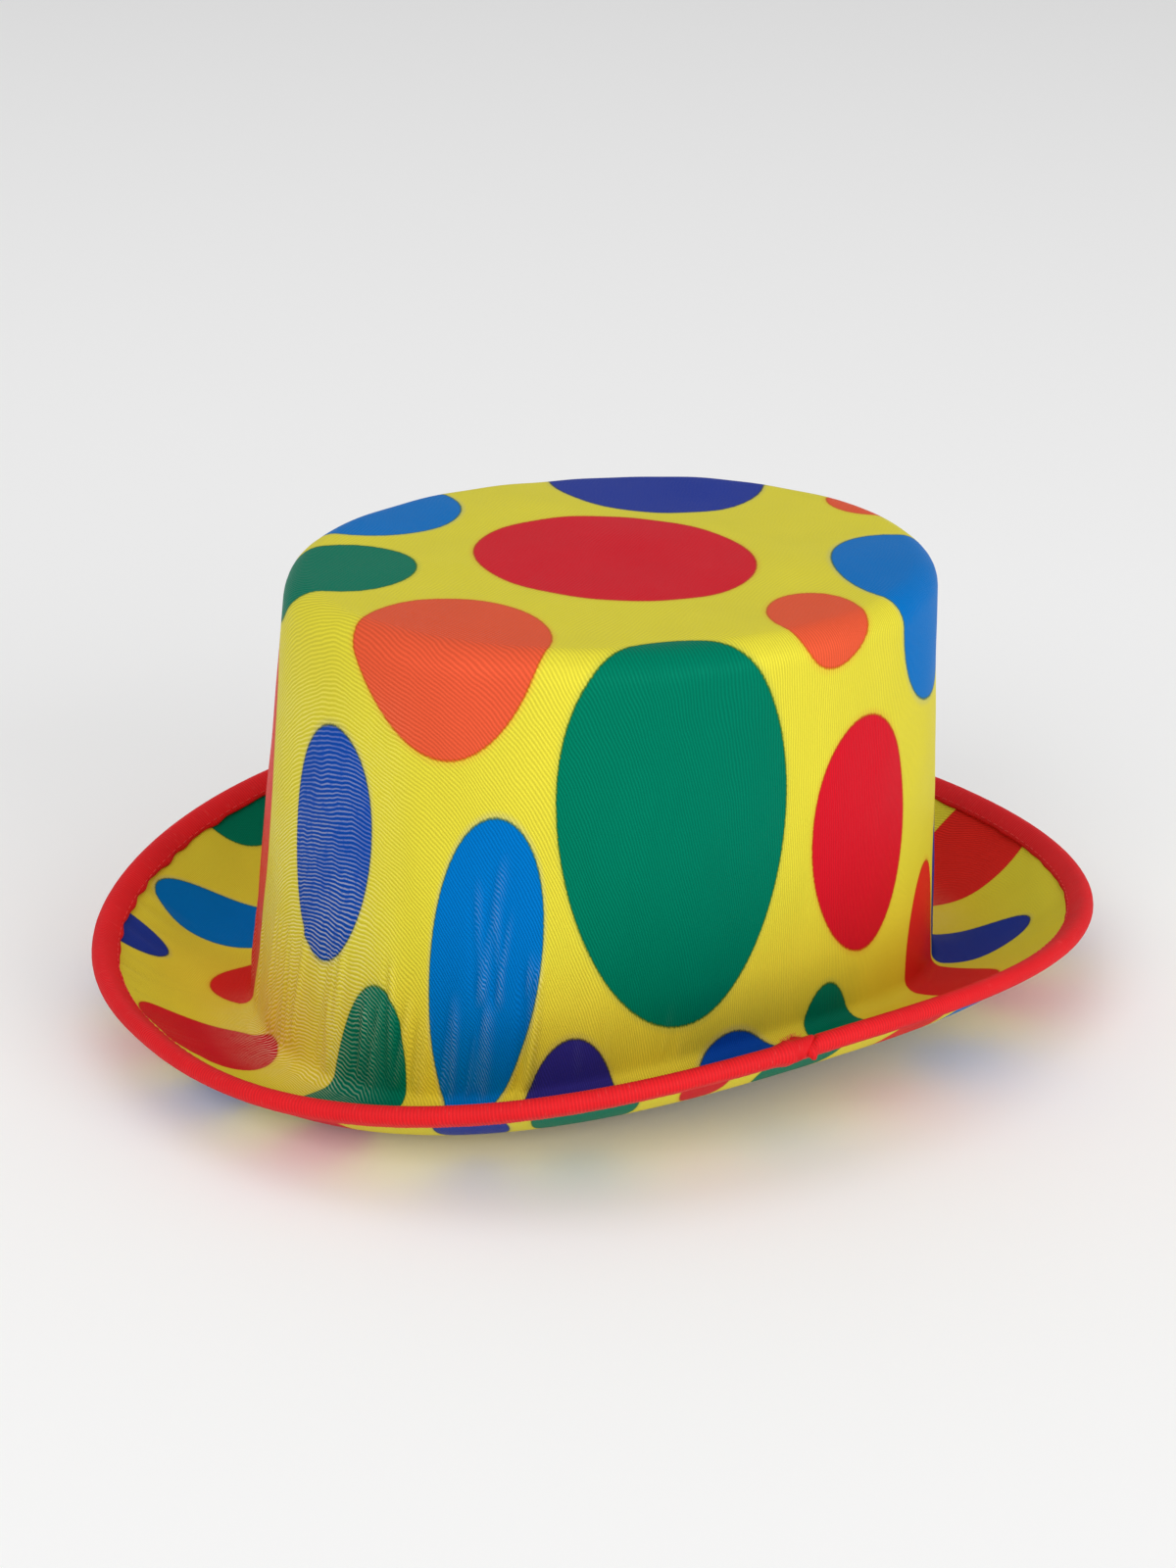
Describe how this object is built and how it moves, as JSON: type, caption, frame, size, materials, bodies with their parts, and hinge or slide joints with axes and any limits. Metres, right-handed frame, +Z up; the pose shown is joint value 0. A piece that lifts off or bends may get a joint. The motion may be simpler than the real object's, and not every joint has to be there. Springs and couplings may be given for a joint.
{
  "type": "clown top hat",
  "caption": "Costume top hat with a tall oval crown and a curled brim, pressed from one polka-dot satin sheet with a folded tape bound over the rim.",
  "frame": {"origin": "under the middle of the hat's plan, level with the lowest part of the brim, which is what it rests on", "axes": "+Z up through the crown's flat top, +Y towards the back of the head along the hat's long way, +X to one side, front to -Y"},
  "size_m": [0.2503, 0.3016, 0.131],
  "materials": {
    "printed_satin": "yellow polyester satin printed with large dots, laid over thin foam, fine ribs, soft sheen",
    "red_tape": "woven red binding tape with fine cross ribs, folded over the rim and stitched"
  },
  "bodies": {
    "root": {"hat_shell": "printed_satin", "brim_binding": "red_tape"}
  },
  "joints": []
}
